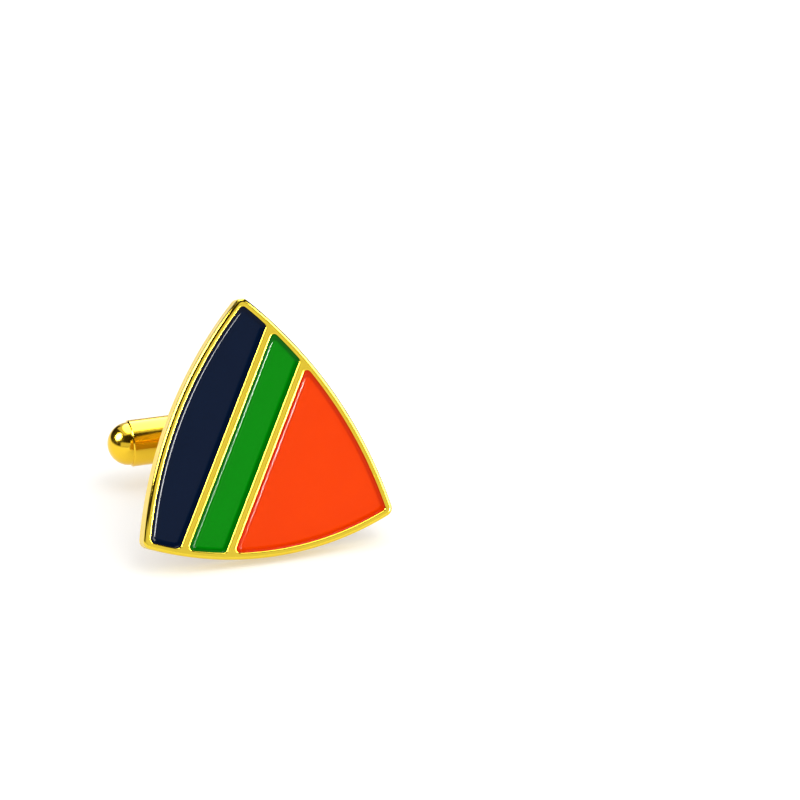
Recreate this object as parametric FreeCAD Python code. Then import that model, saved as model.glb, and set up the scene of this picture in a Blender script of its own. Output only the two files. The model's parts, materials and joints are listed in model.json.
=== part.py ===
import FreeCAD
import Part
import math
import os

from FreeCAD import Placement, Rotation, Vector

# Bullet-back cufflink, standing on a table on the rim of its head and the end of its post.
# Each piece is modelled in millimetres on a bench frame: X along the bullet, Y up the head, Z out
# of the enamelled face, with the origin on the back of the head, on the axis of the post.

# Head: a flat struck plate with three bowed sides.
HEAD_WIDTH = 22.6  # between the two lower corners
HEAD_HEIGHT = 22.8  # from the lowest point of the base to the top corner
SIDE_BOW = 1.8  # rise of each slanting side over its chord
BASE_BOW = 2.4  # rise of the base over its chord
HEAD_THICKNESS = 2.0
CORNER_RADIUS = 0.7
RIM_WIDTH = 0.6
RIM_ROUND = 0.3
BACK_CHAMFER = 0.12
POST_RISE = 11.0  # the post's axis above the lowest point of the base

# Enamel cells: three slanting stripes, parallel to the left side, kept apart by raised walls.
NAVY_EDGE = 3.4  # middle of the first wall, from the chord of the left side
GREEN_EDGE = 7.3  # middle of the second wall, from the same chord
WALL_WIDTH = 0.7
CELL_DEPTH = 0.8  # floor of a cell below the rim
CELL_CORNER = 0.35
WALL_CHAMFER = 0.1
ENAMEL_DROP = 0.32  # middle of the enamel below the rim
MENISCUS_DROP = 0.15  # edge of the enamel below the rim, where it climbs the walls
MENISCUS_RADIUS = 0.75
MENISCUS_LIP = 0.03  # width of the enamel's edge along the wall
DISH_CORNER = 0.9

# Foot: a disc brazed into a shallow seat in the back of the head.
FOOT_DIAMETER = 9.6
FOOT_THICKNESS = 0.9
FOOT_SEAT_DEPTH = 0.3
FOOT_CHAMFER = 0.2

# Yoke: a strap folded into a U, with the bullet between its two arms.
PIVOT_HEIGHT = 15.5  # the pin's axis behind the back of the head
STRAP_THICKNESS = 1.25
STRAP_WIDTH = 2.8
FOLD_RADIUS = 0.85  # inside each fold
ARM_OVERHANG = 1.2  # the arm's end past the pin's axis
ARM_END_RADIUS = 0.8
STRAP_CHAMFER = 0.25

# Bullet: a tube with a domed cap in each end.
BULLET_DIAMETER = 4.3
BULLET_LENGTH = 19.4
BARREL_WALL = 0.6
BARREL_CHAMFER = 0.1
CAP_STEP = 0.17  # the dome's edge inside the barrel's
SPIGOT_LENGTH = 2.0
SPIGOT_CHAMFER = 0.15

# Pivot: a riveted pin, with a bush each side that spaces the bullet from the arms.
BUSH_SPAN = 0.85  # gap between the bullet and each arm
BUSH_WALL = 0.45
BUSH_TAIL = 0.15  # how far a bush reaches past the barrel's inner wall
PIN_DIAMETER = 1.3
RIVET_DIAMETER = 2.0
RIVET_HEIGHT = 0.25

# Detent: two bowed leaf springs in the bullet, which press on the squared middle of the pin.
SQUARE_SIDE = 0.92
SQUARE_LENGTH = 2.4
LEAF_THICKNESS = 0.2
LEAF_WIDTH = 1.8
LEAF_PLAY = 0.33  # between each end of a leaf and the cap there

# Clearances.
SEAT_GAP = 0.05  # foot in its seat, all round
FIT_GAP = 0.01  # pieces that are pressed, riveted or sprung together
RUNNING_GAP = 0.04  # bushes on the pin, all round
END_GAP = 0.05  # bush to arm

# Sizes that follow from the driving ones.
BULLET_RADIUS = BULLET_DIAMETER / 2
BORE_RADIUS = BULLET_RADIUS - BARREL_WALL
DOME_RADIUS = BULLET_RADIUS - CAP_STEP
BARREL_LENGTH = BULLET_LENGTH - 2 * DOME_RADIUS
LEAF_LENGTH = BARREL_LENGTH - 2 * (SPIGOT_LENGTH + LEAF_PLAY)
PIN_RADIUS = PIN_DIAMETER / 2
BUSH_BORE = PIN_RADIUS + RUNNING_GAP
BUSH_RADIUS = BUSH_BORE + BUSH_WALL
ARM_INNER = BULLET_RADIUS + BUSH_SPAN  # inner face of each arm from the post's axis
ARM_OUTER = ARM_INNER + STRAP_THICKNESS
FOOT_BACK = FOOT_SEAT_DEPTH - FOOT_THICKNESS  # Z of the foot's rear face
ARM_END = -PIVOT_HEIGHT - ARM_OVERHANG  # Z of the arms' ends
ARM_TOE = ARM_END + STRAP_CHAMFER  # Z of the edge that the lower arm stands on
LEAN = math.atan2(POST_RISE - ARM_OUTER, BACK_CHAMFER - ARM_TOE)  # both edges then stand on the table

X_AXIS = Vector(1, 0, 0)
Y_AXIS = Vector(0, 1, 0)
Z_AXIS = Vector(0, 0, 1)
PIVOT = Vector(0, 0, -PIVOT_HEIGHT)
BASE_Y = BASE_BOW - POST_RISE  # height of the two lower corners
LEFT_CORNER = Vector(-HEAD_WIDTH / 2, BASE_Y, 0)
RIGHT_CORNER = Vector(HEAD_WIDTH / 2, BASE_Y, 0)
TOP_CORNER = Vector(0, HEAD_HEIGHT - POST_RISE, 0)
SIDES = [
    (LEFT_CORNER, RIGHT_CORNER, BASE_BOW),
    (RIGHT_CORNER, TOP_CORNER, SIDE_BOW),
    (TOP_CORNER, LEFT_CORNER, SIDE_BOW),
]
BEYOND = 2 * (HEAD_WIDTH + HEAD_HEIGHT)  # longer than anything on the head
SNAP = 1e-4  # two places nearer than this are the same


def edges_where(shape, test):
    return [edge for edge in shape.Edges if test(edge)]


def runs_along(edge, axis):
    """True if the edge is a straight line parallel to the axis."""
    if edge.Curve.TypeId != "Part::GeomLine":
        return False
    return edge.tangentAt(edge.FirstParameter).cross(axis).Length < SNAP


def lies_at_z(edge, height):
    return edge.BoundBox.ZMin > height - SNAP and edge.BoundBox.ZMax < height + SNAP


def right_of(start, end):
    """Unit vector in the head's plane, square to the line from start to end, on its right."""
    return (end - start).cross(Z_AXIS).normalize()


def bowed_triangle(inset, low, high):
    """Prism of the head's outline, moved in by inset: three discs, one behind each bowed side."""
    prism = None
    for start, end, bow in SIDES:
        half_chord = (end - start).Length / 2
        radius = (half_chord**2 + bow**2) / (2 * bow)
        outward = right_of(start, end)
        centre = (start + end) / 2 - outward * (radius - bow)
        disc = Part.makeCylinder(radius - inset, high - low, centre + Z_AXIS * low)
        prism = disc if prism is None else prism.common(disc)
    return prism


def stripe(near, far, low, high):
    """Block across the head between two distances from the chord of its left side."""
    inward = right_of(LEFT_CORNER, TOP_CORNER)
    block = Part.makeBox(far - near, BEYOND, high - low, Vector(near, -BEYOND / 2, low))
    turn = Rotation(X_AXIS, inward)
    block.Placement = Placement(LEFT_CORNER, turn)
    return block


def cell(near, far, inset, low, high, corner):
    """Prism of one enamel cell, with its upright corners rounded."""
    outline = bowed_triangle(RIM_WIDTH + inset, low, high)
    prism = outline.common(stripe(near + inset, far - inset, low, high))
    solid = prism.Solids[0]
    return solid.makeFillet(corner, edges_where(solid, lambda edge: runs_along(edge, Z_AXIS)))


HALF_WALL = WALL_WIDTH / 2
CELLS = {
    "enamel_navy": (-BEYOND / 2, NAVY_EDGE - HALF_WALL),
    "enamel_green": (NAVY_EDGE + HALF_WALL, GREEN_EDGE - HALF_WALL),
    "enamel_orange": (GREEN_EDGE + HALF_WALL, BEYOND / 2),
}


def make_head_plate():
    """Struck plate: a rounded rim, open cells on its face and a round seat for the foot behind."""
    plate = bowed_triangle(0, 0, HEAD_THICKNESS).Solids[0]
    plate = plate.makeFillet(CORNER_RADIUS, edges_where(plate, lambda edge: runs_along(edge, Z_AXIS)))
    plate = plate.makeFillet(RIM_ROUND, edges_where(plate, lambda edge: lies_at_z(edge, HEAD_THICKNESS)))
    plate = plate.makeChamfer(BACK_CHAMFER, edges_where(plate, lambda edge: lies_at_z(edge, 0)))
    floor = HEAD_THICKNESS - CELL_DEPTH
    for near, far in CELLS.values():
        pocket = cell(near, far, 0, floor, HEAD_THICKNESS, CELL_CORNER)
        plate = plate.cut(pocket)
        top_edges = edges_where(plate, lambda edge: lies_at_z(edge, HEAD_THICKNESS))
        mouth = [edge for edge in top_edges if pocket.isInside(edge.firstVertex().Point, SNAP, True)]
        plate = plate.makeChamfer(WALL_CHAMFER, mouth)
    seat = Part.makeCylinder(FOOT_DIAMETER / 2 + SEAT_GAP, FOOT_SEAT_DEPTH)
    return plate.cut(seat)


def make_enamel(near, far):
    """Enamel in one cell: level in the middle, and drawn up a little where it meets the walls."""
    floor = HEAD_THICKNESS - CELL_DEPTH
    level = HEAD_THICKNESS - ENAMEL_DROP
    edge_level = HEAD_THICKNESS - MENISCUS_DROP
    climb = edge_level - level
    reach = math.sqrt(MENISCUS_RADIUS**2 - (MENISCUS_RADIUS - climb) ** 2)
    outset = MENISCUS_RADIUS - reach - MENISCUS_LIP
    fill = cell(near, far, 0, floor, edge_level, CELL_CORNER)
    dish = cell(near, far, -outset, level, HEAD_THICKNESS + MENISCUS_RADIUS, DISH_CORNER)
    dish = dish.makeFillet(MENISCUS_RADIUS, edges_where(dish, lambda edge: lies_at_z(edge, level)))
    return fill.cut(dish)


def make_foot_disc():
    """Disc in the seat, with its rear edge bevelled."""
    disc = Part.makeCylinder(FOOT_DIAMETER / 2, FOOT_THICKNESS, Vector(0, 0, FOOT_BACK))
    return disc.makeChamfer(FOOT_CHAMFER, edges_where(disc, lambda edge: lies_at_z(edge, FOOT_BACK)))


def make_yoke():
    """U-shaped strap: a web on the foot, two folds, and two arms with rounded ends."""
    outer_fold = FOLD_RADIUS + STRAP_THICKNESS
    outside = Part.makeBox(STRAP_WIDTH, 2 * ARM_OUTER, FOOT_BACK - ARM_END)
    outside.translate(Vector(-STRAP_WIDTH / 2, -ARM_OUTER, ARM_END))
    folds = edges_where(outside, lambda edge: runs_along(edge, X_AXIS) and lies_at_z(edge, FOOT_BACK))
    outside = outside.makeFillet(outer_fold, folds)
    web_back = FOOT_BACK - STRAP_THICKNESS
    slot = Part.makeBox(STRAP_WIDTH, 2 * ARM_INNER, web_back - ARM_END)
    slot.translate(Vector(-STRAP_WIDTH / 2, -ARM_INNER, ARM_END))
    folds = edges_where(slot, lambda edge: runs_along(edge, X_AXIS) and lies_at_z(edge, web_back))
    slot = slot.makeFillet(FOLD_RADIUS, folds)
    strap = outside.cut(slot)
    ends = edges_where(strap, lambda edge: runs_along(edge, Y_AXIS) and lies_at_z(edge, ARM_END))
    strap = strap.makeFillet(ARM_END_RADIUS, ends)

    def on_outside(edge):
        if runs_along(edge, X_AXIS):
            return lies_at_z(edge, ARM_END) and abs(edge.CenterOfMass.y) > ARM_OUTER - SNAP
        middle = edge.CenterOfMass
        on_arm = abs(middle.y) > ARM_OUTER - SNAP
        on_web = lies_at_z(edge, FOOT_BACK)
        on_fold = middle.z > FOOT_BACK - outer_fold and abs(middle.y) > ARM_OUTER - outer_fold / 2
        return on_arm or on_web or on_fold

    strap = strap.makeChamfer(STRAP_CHAMFER, edges_where(strap, on_outside))
    hole = Part.makeCylinder(PIN_RADIUS + FIT_GAP, 2 * BEYOND, PIVOT - Y_AXIS * BEYOND, Y_AXIS)
    return strap.cut(hole)


def make_barrel():
    """Tube of the bullet, cross-drilled for the bushes."""
    start = PIVOT - X_AXIS * (BARREL_LENGTH / 2)
    tube = Part.makeCylinder(BULLET_RADIUS, BARREL_LENGTH, start, X_AXIS)
    tube = tube.makeChamfer(BARREL_CHAMFER, edges_where(tube, lambda edge: not runs_along(edge, X_AXIS)))
    bore = Part.makeCylinder(BORE_RADIUS, BARREL_LENGTH, start, X_AXIS)
    cross_hole = Part.makeCylinder(BUSH_RADIUS + FIT_GAP, 2 * BULLET_DIAMETER,
                                   PIVOT - Y_AXIS * BULLET_DIAMETER, Y_AXIS)
    return tube.cut(bore).cut(cross_hole)


def make_cap(way):
    """Domed cap, turned in one piece with the spigot that holds it in the barrel's end."""
    mouth = PIVOT + X_AXIS * (way * BARREL_LENGTH / 2)
    outward = X_AXIS * way
    ball = Part.makeSphere(DOME_RADIUS, mouth)
    outer_half = Part.makeCylinder(BULLET_DIAMETER, BULLET_DIAMETER, mouth, outward)
    dome = ball.common(outer_half)
    spigot = Part.makeCylinder(BORE_RADIUS - FIT_GAP, SPIGOT_LENGTH, mouth, outward * -1)
    tail = mouth - outward * SPIGOT_LENGTH
    rear = edges_where(spigot, lambda edge: abs(edge.CenterOfMass.x - tail.x) < SNAP)
    spigot = spigot.makeChamfer(SPIGOT_CHAMFER, rear)
    return dome.fuse(spigot).removeSplitter()


def make_bush(way):
    """Short bush through the barrel's wall, between the bullet and one arm."""
    outward = Y_AXIS * way
    inner_end = BORE_RADIUS - BUSH_TAIL
    length = ARM_INNER - END_GAP - inner_end
    start = PIVOT + outward * inner_end
    sleeve = Part.makeCylinder(BUSH_RADIUS, length, start, outward)
    return sleeve.cut(Part.makeCylinder(BUSH_BORE, length, start, outward))


def make_pin():
    """Pin with a low riveted head on each arm and a squared middle for the detent."""
    shank = Part.makeCylinder(PIN_RADIUS, 2 * ARM_OUTER, PIVOT - Y_AXIS * ARM_OUTER, Y_AXIS)
    rivet_radius = RIVET_DIAMETER / 2
    cap_radius = (rivet_radius**2 + RIVET_HEIGHT**2) / (2 * RIVET_HEIGHT)
    for way in (-1, 1):
        outward = Y_AXIS * way
        face = PIVOT + outward * ARM_OUTER
        ball = Part.makeSphere(cap_radius, face - outward * (cap_radius - RIVET_HEIGHT))
        head = ball.common(Part.makeCylinder(RIVET_DIAMETER, RIVET_DIAMETER, face, outward))
        shank = shank.fuse(head)
    collar = Part.makeCylinder(PIN_DIAMETER, SQUARE_LENGTH, PIVOT - Y_AXIS * (SQUARE_LENGTH / 2), Y_AXIS)
    square = Part.makeBox(SQUARE_SIDE, SQUARE_LENGTH, SQUARE_SIDE)
    square.translate(PIVOT - Vector(SQUARE_SIDE, SQUARE_LENGTH, SQUARE_SIDE) / 2)
    return shank.cut(collar.cut(square)).removeSplitter()


def make_leaf(way):
    """Leaf spring along the bore: its belly lies on the pin's flat and its ends on the bore's wall."""
    belly = SQUARE_SIDE / 2 + FIT_GAP
    half_width = LEAF_WIDTH / 2
    tip = math.sqrt((BORE_RADIUS - FIT_GAP) ** 2 - half_width**2)  # outer face at the leaf's ends
    rise = tip - LEAF_THICKNESS - belly
    half_length = LEAF_LENGTH / 2

    def bowed(offset):
        start = PIVOT + Vector(-half_length, -half_width, way * (belly + rise + offset))
        middle = PIVOT + Vector(0, -half_width, way * (belly + offset))
        end = start + X_AXIS * LEAF_LENGTH
        return Part.Arc(start, middle, end).toShape()

    inner = bowed(0)
    outer = bowed(LEAF_THICKNESS)
    sides = [
        Part.makeLine(inner.valueAt(end), outer.valueAt(end))
        for end in (inner.FirstParameter, inner.LastParameter)
    ]
    outline = Part.Wire(Part.__sortEdges__([inner, sides[1], outer, sides[0]]))
    return Part.Face(outline).extrude(Y_AXIS * LEAF_WIDTH)


def make_pieces():
    pieces = {"head_plate": make_head_plate()}
    for name, (near, far) in CELLS.items():
        pieces[name] = make_enamel(near, far)
    pieces["foot_disc"] = make_foot_disc()
    pieces["yoke"] = make_yoke()
    pieces["pivot_pin"] = make_pin()
    pieces["bullet_barrel"] = make_barrel()
    for side, way in (("left", -1), ("right", 1)):
        pieces["end_cap_" + side] = make_cap(way)
    for side, way in (("lower", -1), ("upper", 1)):
        pieces["pivot_bush_" + side] = make_bush(way)
    for side, way in (("rear", -1), ("front", 1)):
        pieces["detent_leaf_" + side] = make_leaf(way)
    return pieces


def stand_up(pieces):
    """Leans the cufflink back onto its post and stands it on the table, over the origin."""
    turn = Placement(Vector(0, 0, 0), Rotation(X_AXIS, 90 - math.degrees(LEAN)))
    for shape in pieces.values():
        shape.Placement = turn.multiply(shape.Placement)
    box = Part.makeCompound(list(pieces.values())).optimalBoundingBox(False)
    shift = Vector(-box.Center.x, -box.Center.y, -box.ZMin)
    for shape in pieces.values():
        shape.translate(shift)
    return Placement(shift, turn.Rotation)


PIECES = make_pieces()
STANDING = stand_up(PIECES)

os.makedirs("parts", exist_ok=True)
for node, shape in PIECES.items():
    shape.exportStep("parts/" + node + ".step")
    print(node, len(shape.Solids), "solid,", round(shape.Volume, 3), "mm3, valid:", shape.isValid())
print("lean", round(math.degrees(LEAN), 2), "degrees; bench origin stands at", STANDING.Base)
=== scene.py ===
import cmath
import json
import math

import bmesh
import bpy
from mathutils import Color, Matrix, Vector
from mathutils.geometry import tessellate_polygon


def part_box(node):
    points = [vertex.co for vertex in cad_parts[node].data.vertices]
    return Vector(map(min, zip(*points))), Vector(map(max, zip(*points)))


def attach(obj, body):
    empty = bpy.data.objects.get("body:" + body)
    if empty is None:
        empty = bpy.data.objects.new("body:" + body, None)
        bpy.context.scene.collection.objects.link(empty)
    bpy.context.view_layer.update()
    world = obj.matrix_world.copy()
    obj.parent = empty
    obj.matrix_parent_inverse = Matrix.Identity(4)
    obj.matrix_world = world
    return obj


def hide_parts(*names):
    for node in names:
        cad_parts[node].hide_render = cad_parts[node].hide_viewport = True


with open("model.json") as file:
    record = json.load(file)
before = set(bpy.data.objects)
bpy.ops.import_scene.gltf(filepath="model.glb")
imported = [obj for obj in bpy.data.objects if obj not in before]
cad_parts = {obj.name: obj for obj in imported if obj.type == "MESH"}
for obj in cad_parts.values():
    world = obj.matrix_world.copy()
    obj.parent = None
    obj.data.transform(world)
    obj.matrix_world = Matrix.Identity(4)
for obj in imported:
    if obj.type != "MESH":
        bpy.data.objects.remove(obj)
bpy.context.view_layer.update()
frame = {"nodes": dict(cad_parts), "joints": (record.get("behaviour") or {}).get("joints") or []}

# Bench. The pieces are drawn in millimetres as a maker holds them: X along the bullet, Y up the head
# and Z out of the enamelled face, from the back of the head. The swivel's pin stands along Y, so the
# packed joint gives the bench's place on the table.
MM = 0.001
PIN_BEHIND_HEAD = 15.5
swivel = frame["joints"][0]
up_head = Vector(swivel["axis"]).normalized()
along_bullet = Vector((1, 0, 0))
out_of_face = along_bullet.cross(up_head)
bench_turn = Matrix((along_bullet, up_head, out_of_face)).transposed()
bench_place = Vector(swivel["pos_m"]) + out_of_face * PIN_BEHIND_HEAD * MM
bench = Matrix.LocRotScale(bench_place, bench_turn, Vector((MM, MM, MM)))

# Head plate. Struck from brass sheet, with a rounded rim and raised walls round three open cells,
# then polished on its face and gold plated. The foot of the post is let into a round seat behind.
HEAD_WIDTH = 22.6
HEAD_HEIGHT = 22.8
SIDE_BOW = 1.8
BASE_BOW = 2.4
HEAD_THICKNESS = 2.0
CORNER_RADIUS = 0.7
RIM_WIDTH = 0.6
RIM_ROUND = 0.3
BACK_CHAMFER = 0.12
POST_RISE = 11.0
NAVY_EDGE = 3.4
GREEN_EDGE = 7.3
WALL_WIDTH = 0.7
WALL_ROUND = 0.1
CELL_DEPTH = 0.8
CELL_CORNER = 0.35
SEAT_RADIUS = 4.85
SEAT_DEPTH = 0.3
STRAIGHT = 1e5  # radius of the circle that stands for a straight wall
FLAT_GUARD = 0.025  # flat strip beside each round, so that its shading stays off the flat
SEAT_STEPS = 96
SIDE_STEPS = 44
CORNER_STEPS = 10
ROUND_STEPS = 8
CREASE = math.radians(32)  # folds sharper than this stay sharp in the shading


def bowed_side(start, end, bow):
    """Disc whose edge runs from start to end with the given bow, start to end anticlockwise."""
    half = abs(end - start) / 2
    radius = (half**2 + bow**2) / (2 * bow)
    outward = -1j * (end - start) / abs(end - start)
    return (start + end) / 2 - outward * (radius - bow), radius


left_corner = complex(-HEAD_WIDTH / 2, BASE_BOW - POST_RISE)
right_corner = complex(HEAD_WIDTH / 2, BASE_BOW - POST_RISE)
top_corner = complex(0, HEAD_HEIGHT - POST_RISE)
base_side = bowed_side(left_corner, right_corner, BASE_BOW)
right_side = bowed_side(right_corner, top_corner, SIDE_BOW)
left_side = bowed_side(top_corner, left_corner, SIDE_BOW)
slant = (top_corner - left_corner) / abs(top_corner - left_corner)


def rim_inside(side):
    """The same side, moved in to the inner edge of the rim."""
    centre, radius = side
    return centre, radius - RIM_WIDTH


def wall_face(distance, facing):
    """Straight cell wall, parallel to the left side's chord; facing is 1 for a cell on its left."""
    across = -1j * slant
    return left_corner + across * (distance - facing * STRAIGHT), STRAIGHT


half_wall = WALL_WIDTH / 2
cells = {
    "navy": [
        rim_inside(base_side),
        wall_face(NAVY_EDGE - half_wall, 1),
        rim_inside(right_side),
        rim_inside(left_side),
    ],
    "green": [
        rim_inside(base_side),
        wall_face(GREEN_EDGE - half_wall, 1),
        rim_inside(right_side),
        wall_face(NAVY_EDGE + half_wall, -1),
    ],
    "orange": [
        rim_inside(base_side),
        rim_inside(right_side),
        wall_face(GREEN_EDGE + half_wall, -1),
    ],
}


def outline(sides, inset, corner):
    """Loop of points inside all the sides, moved in by inset, with corners of the given radius."""
    meets = []
    for (first, first_radius), (second, second_radius) in zip(sides, sides[1:] + sides[:1]):
        a = first_radius - inset - corner
        b = second_radius - inset - corner
        gap = abs(second - first)
        along = (a**2 - b**2 + gap**2) / (2 * gap)
        aside = math.sqrt(a**2 - along**2)
        meets.append(first + complex(along, aside) * (second - first) / gap)
    loop = []
    for index, (centre, radius) in enumerate(sides):
        start = meets[index - 1] - centre
        end = meets[index] - centre
        swing = cmath.phase(end / start)
        reach = start / abs(start) * (radius - inset)
        for step in range(1, SIDE_STEPS):
            loop.append(centre + reach * cmath.rect(1, swing * step / SIDE_STEPS))
        next_end = meets[index] - sides[(index + 1) % len(sides)][0]
        spoke = end / abs(end) * corner
        swing = cmath.phase(next_end / end)
        for step in range(CORNER_STEPS + 1):
            loop.append(meets[index] + spoke * cmath.rect(1, swing * step / CORNER_STEPS))
    return loop


class Skin:
    """Points and faces of one piece, on the bench."""

    def __init__(self):
        self.points = []
        self.faces = []
        self.finishes = []

    def ring(self, loop, height):
        first = len(self.points)
        self.points += [(spot.real, spot.imag, height) for spot in loop]
        return list(range(first, len(self.points)))

    def band(self, ring, next_ring, finish=0):
        """Joins two rings; walked outwards along the skin, anticlockwise rings face outwards."""
        count = len(ring)
        for i in range(count):
            j = (i + 1) % count
            self.faces.append((ring[i], ring[j], next_ring[j], next_ring[i]))
            self.finishes.append(finish)

    def bands(self, rings, finish=0):
        for ring, next_ring in zip(rings, rings[1:]):
            self.band(ring, next_ring, finish)

    def flat(self, rings, up, finish=0):
        """Fills the level face inside the first ring and outside the others."""
        order = [index for ring in rings for index in ring]
        loops = [[Vector(self.points[index]) for index in ring] for ring in rings]
        for corners in tessellate_polygon(loops):
            a, b, c = [order[corner] for corner in corners]
            side = (Vector(self.points[b]) - Vector(self.points[a])).cross(
                Vector(self.points[c]) - Vector(self.points[a])
            )
            self.faces.append((a, b, c) if (side.z > 0) == up else (a, c, b))
            self.finishes.append(finish)

    def piece(self, name, finishes):
        """The finished object, in its place on the table."""
        mesh = bpy.data.meshes.new(name)
        mesh.from_pydata(self.points, [], self.faces)
        mesh.transform(bench)
        for finish in finishes:
            mesh.materials.append(finish)
        mesh.polygons.foreach_set("material_index", self.finishes)
        mesh.shade_smooth()
        mesh.set_sharp_from_angle(angle=CREASE)
        thing = bpy.data.objects.new(name, mesh)
        bpy.context.scene.collection.objects.link(thing)
        return thing


def quarter(steps):
    """Pairs (sine, one minus cosine) round a quarter circle."""
    turns = [math.pi / 2 * step / steps for step in range(steps + 1)]
    return [(math.sin(turn), 1 - math.cos(turn)) for turn in turns]


def linear(hex_colour):
    """An sRGB hex colour as the linear red, green, blue and alpha that shaders take."""
    channels = [level / 255 for level in bytes.fromhex(hex_colour[1:])]
    return (*Color(channels).from_srgb_to_scene_linear(), 1)


def add_node(tree, kind, inputs=None, **settings):
    """Adds a node. Each input is a value or another node's output, by name or number."""
    node = tree.nodes.new(kind)
    for setting, value in settings.items():
        setattr(node, setting, value)
    for name, value in (inputs or {}).items():
        if isinstance(value, bpy.types.NodeSocket):
            tree.links.new(value, node.inputs[name])
        else:
            node.inputs[name].default_value = value
    return node


def bench_material(name):
    """New material, with the bench's millimetres as the coordinates for its patterns."""
    material = bpy.data.materials.new(name)
    material.use_nodes = True
    tree = material.node_tree
    tree.nodes.clear()
    place = add_node(tree, "ShaderNodeTexCoord")
    bench_mm = add_node(
        tree,
        "ShaderNodeMapping",
        {
            "Vector": place.outputs["Object"],
            "Location": bench_place,
            "Rotation": bench_turn.to_euler(),
            "Scale": (MM, MM, MM),
        },
        vector_type="TEXTURE",
    )
    return material, tree, bench_mm.outputs["Vector"]


GOLD = ("#ECD042", "#E7C83A")  # where the plate is thinner it is a little redder
GOLD_SHADED_BACK = ("#D6AF42", "#CBA037")  # the back keeps the die's grain, and its gold is painted darker, as painted shade on the back
GOLD_CLOUD = 5.0  # width of the patches of thicker plate
GOLD_SMEAR = 2.2  # width of the smears that handling leaves
GOLD_WAVE = 1.6  # width of the faint waves that buffing leaves
GOLD_WAVE_DEPTH = 0.0015
NOISE_LOW = 0.3  # most of a noise lies between these two levels
NOISE_HIGH = 0.7
SMEAR_DETAIL = 5.0  # times that a noise is laid over itself, each time half as wide
RELIEF_DETAIL = 3.0
WAVE_DETAIL = 1.0


def gold_plate(name, tones, roughness, relief, relief_gap, relief_depth):
    """Gold plate: a mirror with a warm cast, broken by fine relief, faint waves and smears.

    relief is the direction across tool lines, "rings" for lines round the post, or "grain".
    Real tool lines are too fine to show, so relief_gap draws them coarser. A roughness range keeps
    to one side of 0.27, where the denoiser changes its ways and would leave specks."""
    material, tree, spot = bench_material(name)
    cloud = add_node(tree, "ShaderNodeTexNoise", {"Vector": spot, "Scale": 1 / GOLD_CLOUD})
    colour = add_node(
        tree,
        "ShaderNodeMix",
        {"Factor": cloud.outputs["Fac"], "A": linear(tones[0]), "B": linear(tones[1])},
        data_type="RGBA",
    )
    smear = add_node(
        tree,
        "ShaderNodeTexNoise",
        {"Vector": spot, "Scale": 1 / GOLD_SMEAR, "Detail": SMEAR_DETAIL},
    )
    gloss = add_node(
        tree,
        "ShaderNodeMapRange",
        {
            "Value": smear.outputs["Fac"],
            "From Min": NOISE_LOW,
            "From Max": NOISE_HIGH,
            "To Min": roughness[0],
            "To Max": roughness[1],
        },
    )
    if relief == "grain":
        lines = add_node(
            tree,
            "ShaderNodeTexNoise",
            {"Vector": spot, "Scale": 1 / relief_gap, "Detail": RELIEF_DETAIL},
        )
    else:
        if relief == "rings":
            level = add_node(tree, "ShaderNodeVectorMath", {0: spot, 1: (1, 1, 0)}, operation="MULTIPLY")
            across = add_node(
                tree,
                "ShaderNodeVectorMath",
                {0: level.outputs["Vector"]},
                operation="LENGTH",
            )
        else:
            across = add_node(
                tree,
                "ShaderNodeVectorMath",
                {0: spot, 1: relief},
                operation="DOT_PRODUCT",
            )
        lines = add_node(
            tree,
            "ShaderNodeTexNoise",
            {"W": across.outputs["Value"], "Scale": 1 / relief_gap, "Detail": RELIEF_DETAIL},
            noise_dimensions="1D",
        )
    wave = add_node(
        tree,
        "ShaderNodeTexNoise",
        {"Vector": spot, "Scale": 1 / GOLD_WAVE, "Detail": WAVE_DETAIL},
    )
    waved = add_node(
        tree,
        "ShaderNodeBump",
        {"Height": wave.outputs["Fac"], "Distance": GOLD_WAVE_DEPTH * MM, "Strength": 1.0},
    )
    lined = add_node(
        tree,
        "ShaderNodeBump",
        {
            "Height": lines.outputs["Fac"],
            "Distance": relief_depth * MM,
            "Strength": 1.0,
            "Normal": waved.outputs["Normal"],
        },
    )
    metal = add_node(
        tree,
        "ShaderNodeBsdfPrincipled",
        {
            "Base Color": colour.outputs["Result"],
            "Metallic": 1.0,
            "Roughness": gloss.outputs["Result"],
            "Normal": lined.outputs["Normal"],
        },
    )
    add_node(tree, "ShaderNodeOutputMaterial", {"Surface": metal.outputs["BSDF"]})
    return material


ALONG_BULLET = (1.0, 0.0, 0.0)
UP_HEAD = (0.0, 1.0, 0.0)
# The face is buffed to a soft mirror.
polished_gold = gold_plate(
    "polished_gold_plate",
    GOLD,
    roughness=(0.06, 0.10),
    relief=ALONG_BULLET,
    relief_gap=0.35,
    relief_depth=0.0002,
)
# The side wall is only brushed, and has a silky shine.
satin_gold = gold_plate(
    "satin_gold_plate",
    GOLD,
    roughness=(0.29, 0.38),
    relief=UP_HEAD,
    relief_gap=0.3,
    relief_depth=0.0012,
)
# The back keeps the orange-peel grain of the die, which scatters the light; its gold is painted darker,
# as painted shade.
grained_gold = gold_plate(
    "grained_gold_plate",
    GOLD_SHADED_BACK,
    roughness=(0.34, 0.46),
    relief="grain",
    relief_gap=0.45,
    relief_depth=0.08,
)
head_finishes = [polished_gold, satin_gold, grained_gold]
FACE, SIDE, BACK = range(len(head_finishes))

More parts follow.
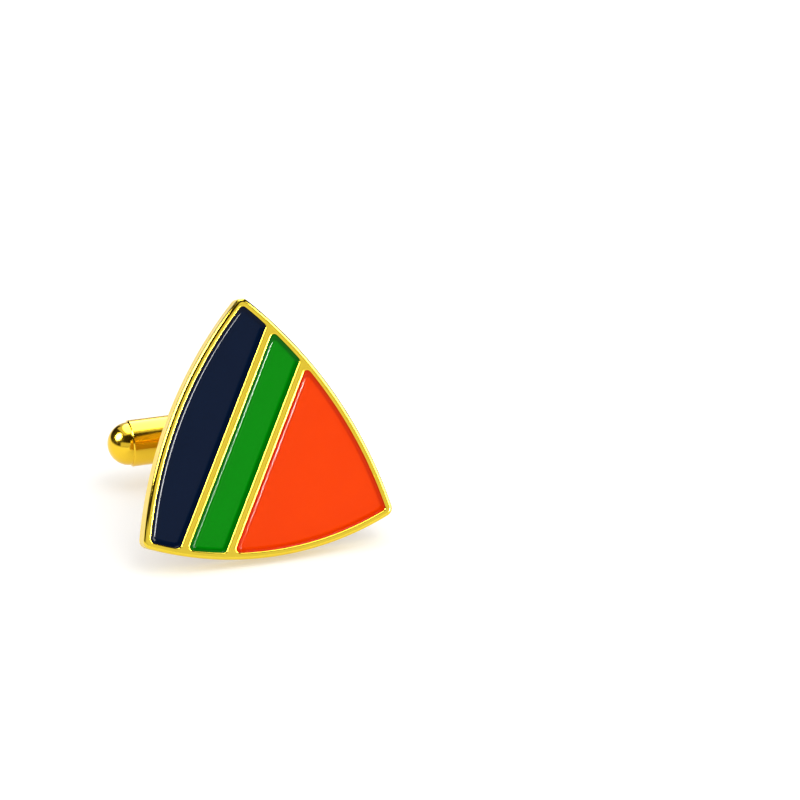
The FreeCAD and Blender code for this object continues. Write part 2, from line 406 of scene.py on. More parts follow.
head = Skin()
head_sides = [base_side, right_side, left_side]
face_level = HEAD_THICKNESS
floor_level = HEAD_THICKNESS - CELL_DEPTH
seat_loop = [cmath.rect(SEAT_RADIUS, math.tau * step / SEAT_STEPS) for step in range(SEAT_STEPS)]
seat_floor = head.ring(seat_loop, SEAT_DEPTH)
seat_mouth = head.ring(seat_loop, 0)
head.flat([seat_floor], False, BACK)
head.band(seat_floor, seat_mouth, BACK)
back = head.ring(outline(head_sides, BACK_CHAMFER, CORNER_RADIUS - BACK_CHAMFER), 0)
head.flat([back, seat_mouth], False, BACK)
edge = [back, head.ring(outline(head_sides, 0, CORNER_RADIUS), BACK_CHAMFER)]
shoulder = face_level - RIM_ROUND
edge.append(head.ring(outline(head_sides, 0, CORNER_RADIUS), shoulder - FLAT_GUARD))
head.bands(edge, SIDE)
rim = [edge[-1]]
for rise, inset in quarter(ROUND_STEPS):
    loop = outline(head_sides, RIM_ROUND * inset, CORNER_RADIUS - RIM_ROUND * inset)
    rim.append(head.ring(loop, shoulder + RIM_ROUND * rise))
inset = RIM_ROUND + FLAT_GUARD
rim.append(head.ring(outline(head_sides, inset, CORNER_RADIUS - inset), face_level))
head.bands(rim, FACE)
mouths = []
for sides in cells.values():
    outset = WALL_ROUND + FLAT_GUARD
    walk = [head.ring(outline(sides, -outset, CELL_CORNER + outset), face_level)]
    mouths.append(walk[0])
    for sink, fall in [(1 - s, c) for s, c in quarter(ROUND_STEPS)]:
        outset = WALL_ROUND * sink
        height = face_level - WALL_ROUND * fall
        walk.append(head.ring(outline(sides, -outset, CELL_CORNER + outset), height))
    walk.append(head.ring(outline(sides, 0, CELL_CORNER), floor_level))
    head.bands(walk, FACE)
    head.flat([walk[-1]], True, FACE)
head.flat([rim[-1], *mouths], True, FACE)
struck_head = head.piece("struck_head", head_finishes)
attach(struck_head, "head")
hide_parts("head_plate")

# Enamel. Opaque colour is laid into each cell and cured; it lies a little below the walls and climbs
# them at its edge, which has a fine bright line. Where it climbs, its colour is painted darker, as
# painted shade from the walls.
ENAMEL_DROP = 0.32
MENISCUS_DROP = 0.15
MENISCUS_RADIUS = 0.75
MENISCUS_LIP = 0.03
DISH_CORNER = 0.9
CELL_PLAY = 0.003
ENAMEL_CLOUD = 2.5  # width of the cloudy patches
CLOUD_DETAIL = 4.0
ENAMEL_WAVE = 3.0  # width of the faint waves on its surface
ENAMEL_WAVE_DEPTH = 0.002
ENAMEL_ROUGHNESS = (0.05, 0.09)
ENAMEL_IOR = 1.5
ENAMEL_SPECULAR = 0.09  # the fields give back little of the studio, and shine only along their edges
# each field's colour, its cloudy tone, and the darker edge colour that is painted shade from the walls
ENAMEL_COLOURS = {
    "navy": ("#081934", "#05152F", "#04122A"),
    "green": ("#009008", "#008B04", "#007006"),
    "orange": ("#FF4600", "#FB4100", "#E63400"),
}
EDGE_SHADE_FULL = 0.25  # the painted shade at the edge is at its darkest after this share of its climb
climb = ENAMEL_DROP - MENISCUS_DROP
level = HEAD_THICKNESS - ENAMEL_DROP


def enamel(name, colour, shade, edge):
    """Cured enamel: opaque colour under a wet gloss, a little cloudy and wavy, with painted shade
    darkening its edge.
    """
    material, tree, spot = bench_material(name)
    cloud = add_node(
        tree,
        "ShaderNodeTexNoise",
        {"Vector": spot, "Scale": 1 / ENAMEL_CLOUD, "Detail": CLOUD_DETAIL},
    )
    tint = add_node(
        tree,
        "ShaderNodeMix",
        {"Factor": cloud.outputs["Fac"], "A": linear(colour), "B": linear(shade)},
        data_type="RGBA",
    )
    height = add_node(tree, "ShaderNodeSeparateXYZ", {"Vector": spot})
    edge_shade_mask = add_node(
        tree,
        "ShaderNodeMapRange",
        {
            "Value": height.outputs["Z"],
            "From Min": level,
            "From Max": level + EDGE_SHADE_FULL * climb,
        },
    )
    # Painted shade: the colour turns to the darker edge colour where the enamel climbs the walls.
    edge_shaded = add_node(
        tree,
        "ShaderNodeMix",
        {"Factor": edge_shade_mask.outputs["Result"], "A": tint.outputs["Result"], "B": linear(edge)},
        data_type="RGBA",
    )
    gloss = add_node(
        tree,
        "ShaderNodeMapRange",
        {
            "Value": cloud.outputs["Fac"],
            "From Min": NOISE_LOW,
            "From Max": NOISE_HIGH,
            "To Min": ENAMEL_ROUGHNESS[0],
            "To Max": ENAMEL_ROUGHNESS[1],
        },
    )
    wave = add_node(
        tree,
        "ShaderNodeTexNoise",
        {"Vector": spot, "Scale": 1 / ENAMEL_WAVE, "Detail": WAVE_DETAIL},
    )
    waved = add_node(
        tree,
        "ShaderNodeBump",
        {"Height": wave.outputs["Fac"], "Distance": ENAMEL_WAVE_DEPTH * MM, "Strength": 1.0},
    )
    body = add_node(
        tree,
        "ShaderNodeBsdfPrincipled",
        {
            "Base Color": edge_shaded.outputs["Result"],
            "Roughness": gloss.outputs["Result"],
            "IOR": ENAMEL_IOR,
            "Specular IOR Level": ENAMEL_SPECULAR,
            "Normal": waved.outputs["Normal"],
        },
    )
    add_node(tree, "ShaderNodeOutputMaterial", {"Surface": body.outputs["BSDF"]})
    return material


bend = math.acos(1 - climb / MENISCUS_RADIUS)
reach = MENISCUS_RADIUS * math.sin(bend)
lip_corner = DISH_CORNER - (MENISCUS_RADIUS - reach)
for colour_name, sides in cells.items():
    fill = Skin()
    wall = outline(sides, CELL_PLAY, CELL_CORNER)
    bottom = fill.ring(wall, floor_level)
    fill.flat([bottom], False)
    walk = [bottom, fill.ring(wall, HEAD_THICKNESS - MENISCUS_DROP)]
    for step in range(ROUND_STEPS + 1):
        steepness = bend * (1 - step / ROUND_STEPS)
        inset = reach - MENISCUS_RADIUS * math.sin(steepness)
        height = level + MENISCUS_RADIUS * (1 - math.cos(steepness))
        walk.append(fill.ring(outline(sides, MENISCUS_LIP + inset, lip_corner - inset), height))
    inset = MENISCUS_LIP + reach + FLAT_GUARD
    walk.append(fill.ring(outline(sides, inset, lip_corner - reach), level))
    fill.bands(walk)
    fill.flat([walk[-1]], True)
    finish = enamel(colour_name + "_cured_enamel", *ENAMEL_COLOURS[colour_name])
    field = fill.piece(colour_name + "_enamel_fill", [finish])
    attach(field, "head")
    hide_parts("enamel_" + colour_name)

# Foot. A turned disc, brazed into the seat on the back of the head; it carries the post and keeps it
# square. Its rear edge is rounded.
FOOT_RADIUS = 4.8
FOOT_BACK = -0.6
FOOT_ROUND = 0.2
TURNED_SEGMENTS = 128
CORE_RADIUS = 1.0  # circle that the lathe sweeps a profile along
WELD = 1e-4

turned = bpy.data.node_groups.new("turned_piece", "GeometryNodeTree")
turned.is_modifier = True
sockets = {
    name: turned.interface.new_socket(name=name, in_out="INPUT", socket_type="NodeSocket" + kind)
    for name, kind in (
        ("Profile", "Geometry"),
        ("Segments", "Int"),
        ("Core Radius", "Float"),
        ("Weld Distance", "Float"),
        ("Finish", "Material"),
    )
}
turned.interface.new_socket(name="Turned Piece", in_out="OUTPUT", socket_type="NodeSocketGeometry")
given = add_node(turned, "NodeGroupInput")
profile = add_node(turned, "GeometryNodeMeshToCurve", {"Mesh": given.outputs["Profile"]})
lathe = add_node(
    turned,
    "GeometryNodeCurvePrimitiveCircle",
    {"Resolution": given.outputs["Segments"], "Radius": given.outputs["Core Radius"]},
)
swept = add_node(
    turned,
    "GeometryNodeCurveToMesh",
    {"Curve": lathe.outputs["Curve"], "Profile Curve": profile.outputs["Curve"]},
)
welded = add_node(
    turned,
    "GeometryNodeMergeByDistance",
    {"Geometry": swept.outputs["Mesh"], "Distance": given.outputs["Weld Distance"]},
)
real = add_node(turned, "GeometryNodeRealizeInstances", {"Geometry": welded.outputs["Geometry"]})
finished = add_node(
    turned,
    "GeometryNodeSetMaterial",
    {"Geometry": real.outputs["Geometry"], "Material": given.outputs["Finish"]},
)
add_node(turned, "NodeGroupOutput", {"Turned Piece": finished.outputs["Geometry"]})


def bake(thing):
    """Turns what the modifiers give into the object's own plain mesh."""
    depsgraph = bpy.context.evaluated_depsgraph_get()
    mesh = bpy.data.meshes.new_from_object(thing.evaluated_get(depsgraph))
    thing.modifiers.clear()
    thing.data = mesh


def turn(name, points, closed, axis, centre, finish):
    """Turns a profile of (radius, height) points round the axis, and puts it in its place."""
    count = len(points)
    edges = [(i, (i + 1) % count) for i in range(count if closed else count - 1)]
    drawing = bpy.data.meshes.new(name)
    drawing.from_pydata([(radius - CORE_RADIUS, -height, 0) for radius, height in points], edges, [])
    thing = bpy.data.objects.new(name, drawing)
    bpy.context.scene.collection.objects.link(thing)
    modifier = thing.modifiers.new("turned", "NODES")
    modifier.node_group = turned
    modifier[sockets["Segments"].identifier] = TURNED_SEGMENTS
    modifier[sockets["Core Radius"].identifier] = CORE_RADIUS
    modifier[sockets["Weld Distance"].identifier] = WELD
    modifier[sockets["Finish"].identifier] = finish
    bake(thing)
    spin = Vector((0, 0, 1)).rotation_difference(Vector(axis)).to_matrix()
    thing.data.transform(Matrix.LocRotScale(Vector(centre), spin, None))
    work = bmesh.new()
    work.from_mesh(thing.data)
    bmesh.ops.recalc_face_normals(work, faces=work.faces)
    work.to_mesh(thing.data)
    work.free()
    return thing


def set_down(thing, body, node):
    """Shades a piece made on the bench, moves it to the table, hangs it on its body and hides the packed
    part.
    """
    thing.data.transform(bench)
    thing.data.shade_smooth()
    thing.data.set_sharp_from_angle(angle=CREASE)
    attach(thing, body)
    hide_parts(node)


foot_profile = [(0, FOOT_BACK), (FOOT_RADIUS - FOOT_ROUND - FLAT_GUARD, FOOT_BACK)]
for rise, fall in quarter(ROUND_STEPS):
    foot_profile.append((FOOT_RADIUS - FOOT_ROUND * (1 - rise), FOOT_BACK + FOOT_ROUND * fall))
foot_profile += [(FOOT_RADIUS, SEAT_DEPTH), (0, SEAT_DEPTH)]
# The foot keeps the lathe's fine rings under its plate.
turned_gold = gold_plate(
    "turned_gold_plate",
    GOLD,
    roughness=(0.16, 0.24),
    relief="rings",
    relief_gap=0.3,
    relief_depth=0.0006,
)
foot = turn("brazed_foot", foot_profile, False, (0, 0, 1), (0, 0, 0), turned_gold)
set_down(foot, "head", "foot_disc")

# Yoke. A brass strap with eased edges, folded into a U and brazed to the foot by its web; its two arms
# have rounded ends and carry the pin.
STRAP_THICKNESS = 1.25
STRAP_WIDTH = 2.8
FOLD_RADIUS = 0.85
ARM_OUTER = 4.25
ARM_END = -16.68
ARM_END_RADIUS = 0.8
OUTER_EASE = 0.25
INNER_EASE = 0.06
EASE_STEPS = 5
FOLD_STEPS = 14
QUAD_CORNERS = 4
PIN_RADIUS = 0.65
PRESS_GAP = 0.01

outer_fold = FOLD_RADIUS + STRAP_THICKNESS
arm_length = FOOT_BACK - outer_fold - ARM_END


def edge_distance(x, along):
    """Distance of a spot on the strap's face from the edge of its rounded end."""
    aside = abs(x) - (STRAP_WIDTH / 2 - ARM_END_RADIUS)
    ahead = ARM_END_RADIUS - along
    if aside > 0 and ahead > 0:
        return ARM_END_RADIUS - math.hypot(aside, ahead)
    return ARM_END_RADIUS - max(aside, ahead)


def eased(distance, ease):
    """Drop of an eased edge, at a distance from it."""
    inside = max(ease - max(distance, 0), 0)
    return ease - math.sqrt(ease**2 - inside**2)


def strap_half(along):
    """Half the strap's width, at a distance along it from the arm's rounded end."""
    ahead = max(ARM_END_RADIUS - along, 0)
    return STRAP_WIDTH / 2 - ARM_END_RADIUS + math.sqrt(ARM_END_RADIUS**2 - ahead**2)


def strap_section(along):
    """Loop of (x, depth) points round the strap, at a distance along it from the arm's end."""
    half = strap_half(along)
    right = []
    for _, fall in reversed(quarter(EASE_STEPS)):
        x = half - OUTER_EASE * fall
        right.append((x, eased(edge_distance(x, along), OUTER_EASE)))
    for _, fall in quarter(EASE_STEPS):
        x = half - INNER_EASE * fall
        right.append((x, STRAP_THICKNESS - eased(edge_distance(x, along), INNER_EASE)))
    return right + [(-x, depth) for x, depth in reversed(right)]


easing = [OUTER_EASE * fall for _, fall in quarter(EASE_STEPS)]
rounding = [ARM_END_RADIUS * step / FOLD_STEPS for step in range(FOLD_STEPS + 1)]
past_easing = [along for along in rounding if along > OUTER_EASE]
arm_steps = sorted({0, *easing, *past_easing, arm_length - FLAT_GUARD})
# Each station has its distance from the arm's end, its Y and Z, and the way that the strap faces there.
strap_path = [(along, -ARM_OUTER, ARM_END + along, -1, 0) for along in arm_steps]
for step in range(FOLD_STEPS + 1):
    turned_by = math.pi / 2 * step / FOLD_STEPS
    ahead = math.sin(turned_by)
    aside = -math.cos(turned_by)
    fold_y = outer_fold - ARM_OUTER + outer_fold * aside
    fold_z = FOOT_BACK - outer_fold + outer_fold * ahead
    strap_path.append((arm_length, fold_y, fold_z, aside, ahead))
strap_path += [(along, -y, z, -aside, ahead) for along, y, z, aside, ahead in reversed(strap_path)]
strap_points = []
strap_faces = []
for along, y, z, aside, ahead in strap_path:
    for x, depth in strap_section(along):
        strap_points.append((x, y - aside * depth, z - ahead * depth))
ring_count = len(strap_section(0))
for station in range(len(strap_path) - 1):
    for i in range(ring_count):
        j = (i + 1) % ring_count
        near = station * ring_count
        far = near + ring_count
        strap_faces.append((near + i, near + j, far + j, far + i))
strap_faces.append(tuple(range(ring_count)))
strap_faces.append(tuple(range(len(strap_points) - ring_count, len(strap_points))))
strap_mesh = bpy.data.meshes.new("folded_yoke")
strap_mesh.from_pydata(strap_points, [], strap_faces)
# The strap keeps the draw lines along its length.
drawn_gold = gold_plate(
    "drawn_gold_plate",
    GOLD,
    roughness=(0.14, 0.22),
    relief=ALONG_BULLET,
    relief_gap=0.3,
    relief_depth=0.0005,
)
strap_mesh.materials.append(drawn_gold)
yoke = bpy.data.objects.new("folded_yoke", strap_mesh)
bpy.context.scene.collection.objects.link(yoke)


def tidy(thing):
    """Merges doubles, splits many-cornered faces, drops slivers and turns all faces outwards."""
    work = bmesh.new()
    work.from_mesh(thing.data)
    bmesh.ops.remove_doubles(work, verts=work.verts, dist=WELD)
    many_cornered = [face for face in work.faces if len(face.verts) > QUAD_CORNERS]
    bmesh.ops.triangulate(work, faces=many_cornered)
    bmesh.ops.dissolve_degenerate(work, edges=work.edges, dist=WELD)
    bmesh.ops.recalc_face_normals(work, faces=work.faces)
    work.to_mesh(thing.data)
    work.free()


def drill(thing, radius, centre):
    """Drills a hole through a piece along the head's upright, on the bench."""
    length = 2 * HEAD_HEIGHT
    bit_profile = [(0, -length), (radius, -length), (radius, length), (0, length)]
    bit = turn("bit", bit_profile, False, UP_HEAD, centre, thing.data.materials[0])
    cut = thing.modifiers.new("hole", "BOOLEAN")
    cut.object = bit
    cut.operation = "DIFFERENCE"
    cut.solver = "EXACT"
    bake(thing)
    bpy.data.objects.remove(bit)
    tidy(thing)


tidy(yoke)
PIVOT = (0.0, 0.0, -PIN_BEHIND_HEAD)
drill(yoke, PIN_RADIUS + PRESS_GAP, PIVOT)
set_down(yoke, "head", "yoke")

# Pivot pin. A hard brass pin through both arms, riveted over into a low dome on each; its middle is
# squared, so that the leaf springs click on its flats.
RIVET_RADIUS = 1.0
RIVET_HEIGHT = 0.25
SQUARE_HALF = 0.46
SQUARE_REACH = 1.2
SQUARE_SHOULDER = 0.01
rivet_ball = (RIVET_RADIUS**2 + RIVET_HEIGHT**2) / (2 * RIVET_HEIGHT)
rivet_turn = math.asin(RIVET_RADIUS / rivet_ball)
rivet = []
for step in range(ROUND_STEPS + 1):
    turned_by = rivet_turn * step / ROUND_STEPS
    drop = rivet_ball * (1 - math.cos(turned_by))
    rivet.append((rivet_ball * math.sin(turned_by), ARM_OUTER + RIVET_HEIGHT - drop))
shank = [
    (PIN_RADIUS, ARM_OUTER),
    (PIN_RADIUS, SQUARE_REACH + SQUARE_SHOULDER),
    (PIN_RADIUS, SQUARE_REACH),
]
half_pin = rivet + shank
pin_profile = half_pin + [(radius, -height) for radius, height in reversed(half_pin)]
pin = turn("riveted_pin", pin_profile, False, UP_HEAD, PIVOT, polished_gold)
for point in pin.data.vertices:
    if abs(point.co.y) < SQUARE_REACH + SQUARE_SHOULDER / 2:
        point.co.x = min(max(point.co.x, -SQUARE_HALF), SQUARE_HALF)
        point.co.z = min(max(point.co.z - PIVOT[2], -SQUARE_HALF), SQUARE_HALF) + PIVOT[2]
set_down(pin, "head", "pivot_pin")

# Bullet barrel. A length of tube, bevelled at its ends, cross-drilled for the bushes, polished in the
# lathe and gold plated.
BULLET_RADIUS = 2.15
BORE_RADIUS = 1.55
BARREL_HALF = 7.72
BARREL_BEVEL = 0.1
BUSH_RADIUS = 1.14
DRILLED_HALF = 1.6
BULLET_GOLD = ("#F4CC3A", "#EFC432")  # a warmer bath than the head's
half_barrel = [
    (BULLET_RADIUS, DRILLED_HALF),
    (BULLET_RADIUS, BARREL_HALF - BARREL_BEVEL - FLAT_GUARD),
    (BULLET_RADIUS, BARREL_HALF - BARREL_BEVEL),
    (BULLET_RADIUS - BARREL_BEVEL, BARREL_HALF),
    (BORE_RADIUS, BARREL_HALF),
    (BORE_RADIUS, DRILLED_HALF),
]
barrel_profile = half_barrel + [(radius, -height) for radius, height in reversed(half_barrel)]
# Polishing in the lathe leaves a bright plate with faint rings round the bullet.
bullet_gold = gold_plate(
    "lathe_polished_gold_plate",
    BULLET_GOLD,
    roughness=(0.11, 0.17),
    relief=ALONG_BULLET,
    relief_gap=0.4,
    relief_depth=0.0003,
)
barrel = turn("bullet_tube", barrel_profile, True, ALONG_BULLET, PIVOT, bullet_gold)
drill(barrel, BUSH_RADIUS + PRESS_GAP, PIVOT)
set_down(barrel, "bullet", "bullet_barrel")

# End caps. Domes turned from bar, each with a spigot that is pressed into the barrel; the dome is a
# hair smaller than the barrel, which leaves a fine step at the joint.
DOME_RADIUS = 1.98
SPIGOT_RADIUS = 1.54
SPIGOT_LENGTH = 2.0
SPIGOT_BEVEL = 0.15
DOME_STEPS = 28
cap_profile = [
    (0, -SPIGOT_LENGTH),
    (SPIGOT_RADIUS - SPIGOT_BEVEL, -SPIGOT_LENGTH),
    (SPIGOT_RADIUS, SPIGOT_BEVEL - SPIGOT_LENGTH),
    (SPIGOT_RADIUS, 0),
]
for step in range(DOME_STEPS + 1):
    turned_by = math.pi / 2 * step / DOME_STEPS
    cap_profile.append((DOME_RADIUS * math.cos(turned_by), DOME_RADIUS * math.sin(turned_by)))
for side_name, way in (("left", -1), ("right", 1)):
    mouth = (way * BARREL_HALF, 0, -PIN_BEHIND_HEAD)
    cap = turn("domed_cap_" + side_name, cap_profile, False, (way, 0, 0), mouth, bullet_gold)
    set_down(cap, "bullet", "end_cap_" + side_name)

# Pivot bushes. Short brass sleeves pressed into the barrel's cross hole; they turn on the pin and keep
# the bullet clear of the arms.
BUSH_BORE = 0.69
BUSH_INNER_END = 1.4
BUSH_OUTER_END = 2.95
BUSH_EASE = 0.06
BRASS = "#C9A24E"
BRASS_DULL = "#B08A3C"
BRASS_TARNISH = 0.4  # width of the tarnished spots
BRASS_ROUGHNESS = (0.29, 0.42)
# Turned brass, left bare: a dull yellow metal, darker and rougher where it has tarnished.
bush_brass, brass_tree, brass_spot = bench_material("turned_brass")
spots = add_node(
    brass_tree,
    "ShaderNodeTexNoise",
    {"Vector": brass_spot, "Scale": 1 / BRASS_TARNISH, "Detail": CLOUD_DETAIL},
)
tarnish = add_node(
    brass_tree,
    "ShaderNodeMix",
    {"Factor": spots.outputs["Fac"], "A": linear(BRASS), "B": linear(BRASS_DULL)},
    data_type="RGBA",
)
brass_gloss = add_node(
    brass_tree,
    "ShaderNodeMapRange",
    {"Value": spots.outputs["Fac"], "To Min": BRASS_ROUGHNESS[0], "To Max": BRASS_ROUGHNESS[1]},
)
brass_metal = add_node(
    brass_tree,
    "ShaderNodeBsdfPrincipled",
    {
        "Base Color": tarnish.outputs["Result"],
        "Metallic": 1.0,
        "Roughness": brass_gloss.outputs["Result"],
    },
)
add_node(brass_tree, "ShaderNodeOutputMaterial", {"Surface": brass_metal.outputs["BSDF"]})
bush_profile = [
    (BUSH_BORE, BUSH_INNER_END),
    (BUSH_RADIUS, BUSH_INNER_END),
    (BUSH_RADIUS, BUSH_OUTER_END - BUSH_EASE),
    (BUSH_RADIUS - BUSH_EASE, BUSH_OUTER_END),
    (BUSH_BORE, BUSH_OUTER_END),
]
for side_name, way in (("lower", -1), ("upper", 1)):
    bush = turn("brass_bush_" + side_name, bush_profile, True, (0, way, 0), PIVOT, bush_brass)
    set_down(bush, "bullet", "pivot_bush_" + side_name)

# Detent leaves. Two bowed strips of spring steel inside the barrel, blanked and blued; the packed
# solids are kept, and only their finish is added.
STEEL = "#8C9098"
STEEL_BLUED = "#5E6676"
STEEL_ROUGHNESS = (0.29, 0.4)
ROLL_GAP = 0.12  # real roll lines are finer, and wouldn't show
# Rolled spring steel: a grey metal with lines along the strip, blued by its tempering.
steel, steel_tree, steel_spot = bench_material("rolled_spring_steel")
roll = add_node(
    steel_tree,
    "ShaderNodeVectorMath",
    {0: steel_spot, 1: UP_HEAD},
    operation="DOT_PRODUCT",
)
roll_lines = add_node(
    steel_tree,
    "ShaderNodeTexNoise",
    {"W": roll.outputs["Value"], "Scale": 1 / ROLL_GAP, "Detail": RELIEF_DETAIL},
    noise_dimensions="1D",
)
blueing = add_node(
    steel_tree,
    "ShaderNodeMix",
    {"Factor": roll_lines.outputs["Fac"], "A": linear(STEEL), "B": linear(STEEL_BLUED)},
    data_type="RGBA",
)
steel_gloss = add_node(
    steel_tree,
    "ShaderNodeMapRange",
    {"Value": roll_lines.outputs["Fac"], "To Min": STEEL_ROUGHNESS[0], "To Max": STEEL_ROUGHNESS[1]},
)
steel_metal = add_node(
    steel_tree,
    "ShaderNodeBsdfPrincipled",
    {
        "Base Color": blueing.outputs["Result"],
        "Metallic": 1.0,
        "Roughness": steel_gloss.outputs["Result"],
    },
)
add_node(steel_tree, "ShaderNodeOutputMaterial", {"Surface": steel_metal.outputs["BSDF"]})
for leaf_name in ("detent_leaf_front", "detent_leaf_rear"):
    leaf = frame["nodes"][leaf_name]
    leaf.data.materials.clear()
    leaf.data.materials.append(steel)

# Table and studio. A white table under soft light: the floor keeps the faint shadow, and it shows
# white to the camera and in the gold.
FLOOR_HALF = 2.5
FLOOR_DROP = 0.01 * MM
FLOOR_WHITE = "#E4E3E1"
FLOOR_GLOW = 0.35
floor_corners = [
    (-FLOOR_HALF, -FLOOR_HALF, -FLOOR_DROP),
    (FLOOR_HALF, -FLOOR_HALF, -FLOOR_DROP),
    (FLOOR_HALF, FLOOR_HALF, -FLOOR_DROP),
    (-FLOOR_HALF, FLOOR_HALF, -FLOOR_DROP),
]
floor_mesh = bpy.data.meshes.new("table")
floor_mesh.from_pydata(floor_corners, [], [(0, 1, 2, 3)])
table = bpy.data.objects.new("table", floor_mesh)
bpy.context.scene.collection.objects.link(table)
paper = bpy.data.materials.new("white_table")
paper.use_nodes = True
paper_tree = paper.node_tree
paper_tree.nodes.clear()
path = add_node(paper_tree, "ShaderNodeLightPath")
seen = add_node(
    paper_tree,
    "ShaderNodeMath",
    {0: path.outputs["Is Camera Ray"], 1: path.outputs["Is Glossy Ray"]},
    operation="MAXIMUM",
)
seen = add_node(
    paper_tree,
    "ShaderNodeMath",
    {0: seen.outputs["Value"], 1: path.outputs["Is Transmission Ray"]},
    operation="MAXIMUM",
)
glow_level = add_node(
    paper_tree,
    "ShaderNodeMath",
    {0: seen.outputs["Value"], 1: FLOOR_GLOW},
    operation="MULTIPLY",
)
matt = add_node(paper_tree, "ShaderNodeBsdfDiffuse", {"Color": linear(FLOOR_WHITE)})
glow = add_node(paper_tree, "ShaderNodeEmission", {"Strength": glow_level.outputs["Value"]})
both = add_node(
    paper_tree,
    "ShaderNodeAddShader",
    {0: matt.outputs["BSDF"], 1: glow.outputs["Emission"]},
)
add_node(paper_tree, "ShaderNodeOutputMaterial", {"Surface": both.outputs["Shader"]})
floor_mesh.materials.append(paper)

# Camera. It stands to the left of the head's front and looks down at it, far enough back for flat
# perspective, with the cufflink left of the middle as in the photograph.
VIEW_AZIMUTH = math.radians(-19)
VIEW_ELEVATION = math.radians(22)
VIEW_DISTANCE = 0.243
PHOTO_PIXELS = 800
FOCAL_PIXELS = 2800
SENSOR = 36.0
NEAREST_SHOWN = 0.01
HEAD_ON_PHOTO = (255, 428)


def direction(azimuth, elevation):
    """Unit vector towards a place round the object; azimuth 0 is in front of the head."""
    level = math.cos(elevation)
    return Vector((math.sin(azimuth) * level, -math.cos(azimuth) * level, math.sin(elevation)))


to_camera = direction(VIEW_AZIMUTH, VIEW_ELEVATION)
view_right = Vector((math.cos(VIEW_AZIMUTH), math.sin(VIEW_AZIMUTH), 0))
view_up = to_camera.cross(view_right)
head_low, head_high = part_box("head_plate")
head_middle = (head_low + head_high) / 2
pixel = VIEW_DISTANCE / FOCAL_PIXELS
aim = head_middle
aim = aim + view_right * (PHOTO_PIXELS / 2 - HEAD_ON_PHOTO[0]) * pixel
aim = aim + view_up * (HEAD_ON_PHOTO[1] - PHOTO_PIXELS / 2) * pixel
lens = bpy.data.cameras.new("camera")
lens.sensor_width = SENSOR
lens.lens = SENSOR * FOCAL_PIXELS / PHOTO_PIXELS
lens.clip_start = NEAREST_SHOWN
camera = bpy.data.objects.new("camera", lens)
camera.matrix_world = Matrix.LocRotScale(
    aim + to_camera * VIEW_DISTANCE,
    Matrix((view_right, view_up, to_camera)).transposed(),
    None,
)
bpy.context.scene.collection.objects.link(camera)
bpy.context.scene.camera = camera

# Lamps. Softboxes and white cards stand round the table, as in a small product studio; the flat gold
# and the edges of the enamel mirror them. Each is a lamp for matt surfaces and a lamp that only gloss
# mirrors, so that the shadows and the reflections are set apart.
MIRROR_NEARER = 0.98  # the mirrored lamp stands a little nearer, or the other one would hide it
POWER_PER_AREA = 4  # an area lamp's power is its radiance times four times its area
BEFORE_DIFFUSE = 0.5  # less than one diffuse bounce


def softbox(name, shape, at, size, lit=0.0, mirrored=0.0):
    """Area lamp facing the object: lit is its radiance on matt surfaces, mirrored in the gloss.

    at is its azimuth and elevation in degrees and its distance in metres; size is its width and
    height in metres."""
    azimuth, elevation, distance = at
    width, height = size
    away = direction(math.radians(azimuth), math.radians(elevation))
    for suffix, radiance, nearer in (("_light", lit, 1.0), ("_mirror", mirrored, MIRROR_NEARER)):
        if radiance == 0:
            continue
        lamp = bpy.data.lights.new(name + suffix, "AREA")
        lamp.shape = shape
        lamp.size = width
        lamp.size_y = height
        lamp.energy = POWER_PER_AREA * width * height * radiance
        holder = bpy.data.objects.new(name + suffix, lamp)
        holder.location = head_middle + away * distance * nearer
        holder.rotation_euler = away.to_track_quat("Z", "Y").to_euler()
        holder.visible_glossy = suffix == "_mirror"
        holder.visible_diffuse = suffix == "_light"
        if suffix == "_mirror":
            # Off after a diffuse bounce, so that the gold throws no light of its own on the table.
            lamp.use_nodes = True
            lamp.node_tree.nodes.clear()
            path = add_node(lamp.node_tree, "ShaderNodeLightPath")
            straight = add_node(
                lamp.node_tree,
                "ShaderNodeMath",
                {0: path.outputs["Diffuse Depth"], 1: BEFORE_DIFFUSE},
                operation="LESS_THAN",
            )
            shine = add_node(
                lamp.node_tree,
                "ShaderNodeEmission",
                {"Strength": straight.outputs["Value"]},
            )
            add_node(lamp.node_tree, "ShaderNodeOutputLight", {"Surface": shine.outputs["Emission"]})
        bpy.context.scene.collection.objects.link(holder)


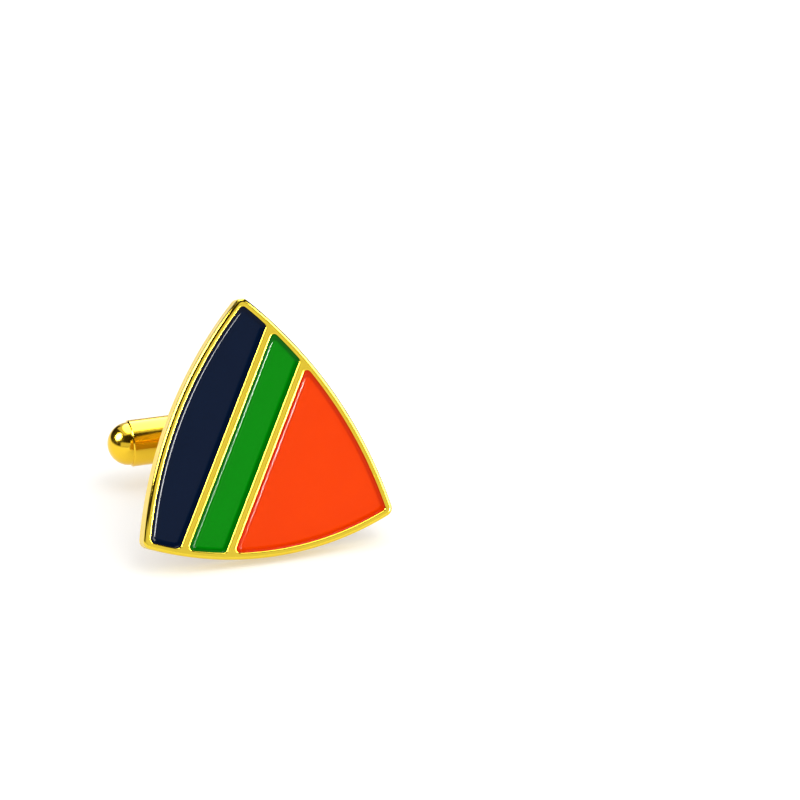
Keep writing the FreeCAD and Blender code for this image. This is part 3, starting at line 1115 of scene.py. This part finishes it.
softbox("key", "ELLIPSE", at=(-96, 39, 0.8), size=(0.46, 0.46), lit=0.74, mirrored=16.0)
softbox("main", "RECTANGLE", at=(36, 58, 0.9), size=(0.7, 0.7), lit=1.6)
softbox("overhead", "RECTANGLE", at=(175, 69, 0.8), size=(0.9, 1.3), lit=0.4, mirrored=0.6)
softbox("overhead_core", "ELLIPSE", at=(163, 62, 0.76), size=(0.6, 1.15), mirrored=3.5)
softbox("back_card", "RECTANGLE", at=(163, 19, 0.8), size=(0.6, 0.36), mirrored=0.5)
softbox("front_card", "RECTANGLE", at=(24, 15, 0.8), size=(0.9, 0.36), lit=0.6, mirrored=0.7)
softbox("left_card", "RECTANGLE", at=(-34, 15, 0.8), size=(0.75, 0.3), mirrored=0.6)
softbox("right_card", "RECTANGLE", at=(62, 25, 0.9), size=(0.4, 0.46), mirrored=15.0)
softbox("low_card", "RECTANGLE", at=(36, 8, 0.74), size=(0.15, 0.12), mirrored=80.0)

# World. Dark above and white towards the horizon where the gold mirrors it; even pale light for
# everything else.
SKY_WHITE = "#FFFFFF"
SKY_DARK = "#2A2118"
HORIZON_WHITE_TO = math.radians(1)
HORIZON_DARK_FROM = math.radians(5)
AMBIENT = 0.55
world = bpy.data.worlds.new("studio")
bpy.context.scene.world = world
world.use_nodes = True
sky = world.node_tree
sky.nodes.clear()
sky_path = add_node(sky, "ShaderNodeLightPath")
sky_place = add_node(sky, "ShaderNodeTexCoord")
sky_split = add_node(sky, "ShaderNodeSeparateXYZ", {"Vector": sky_place.outputs["Generated"]})
horizon = add_node(
    sky,
    "ShaderNodeMapRange",
    {
        "Value": sky_split.outputs["Z"],
        "From Min": math.sin(HORIZON_WHITE_TO),
        "From Max": math.sin(HORIZON_DARK_FROM),
    },
    interpolation_type="SMOOTHSTEP",
)
room = add_node(
    sky,
    "ShaderNodeMix",
    {"Factor": horizon.outputs["Result"], "A": linear(SKY_WHITE), "B": linear(SKY_DARK)},
    data_type="RGBA",
)
pale = (AMBIENT, AMBIENT, AMBIENT, 1)
ambient = add_node(
    sky,
    "ShaderNodeMix",
    {"Factor": sky_path.outputs["Is Glossy Ray"], "A": pale, "B": room.outputs["Result"]},
    data_type="RGBA",
)
shown = add_node(
    sky,
    "ShaderNodeMix",
    {
        "Factor": sky_path.outputs["Is Camera Ray"],
        "A": ambient.outputs["Result"],
        "B": linear(SKY_WHITE),
    },
    data_type="RGBA",
)
background = add_node(sky, "ShaderNodeBackground", {"Color": shown.outputs["Result"]})
add_node(sky, "ShaderNodeOutputWorld", {"Surface": background.outputs["Background"]})

bpy.context.scene.view_settings.view_transform = "Standard"
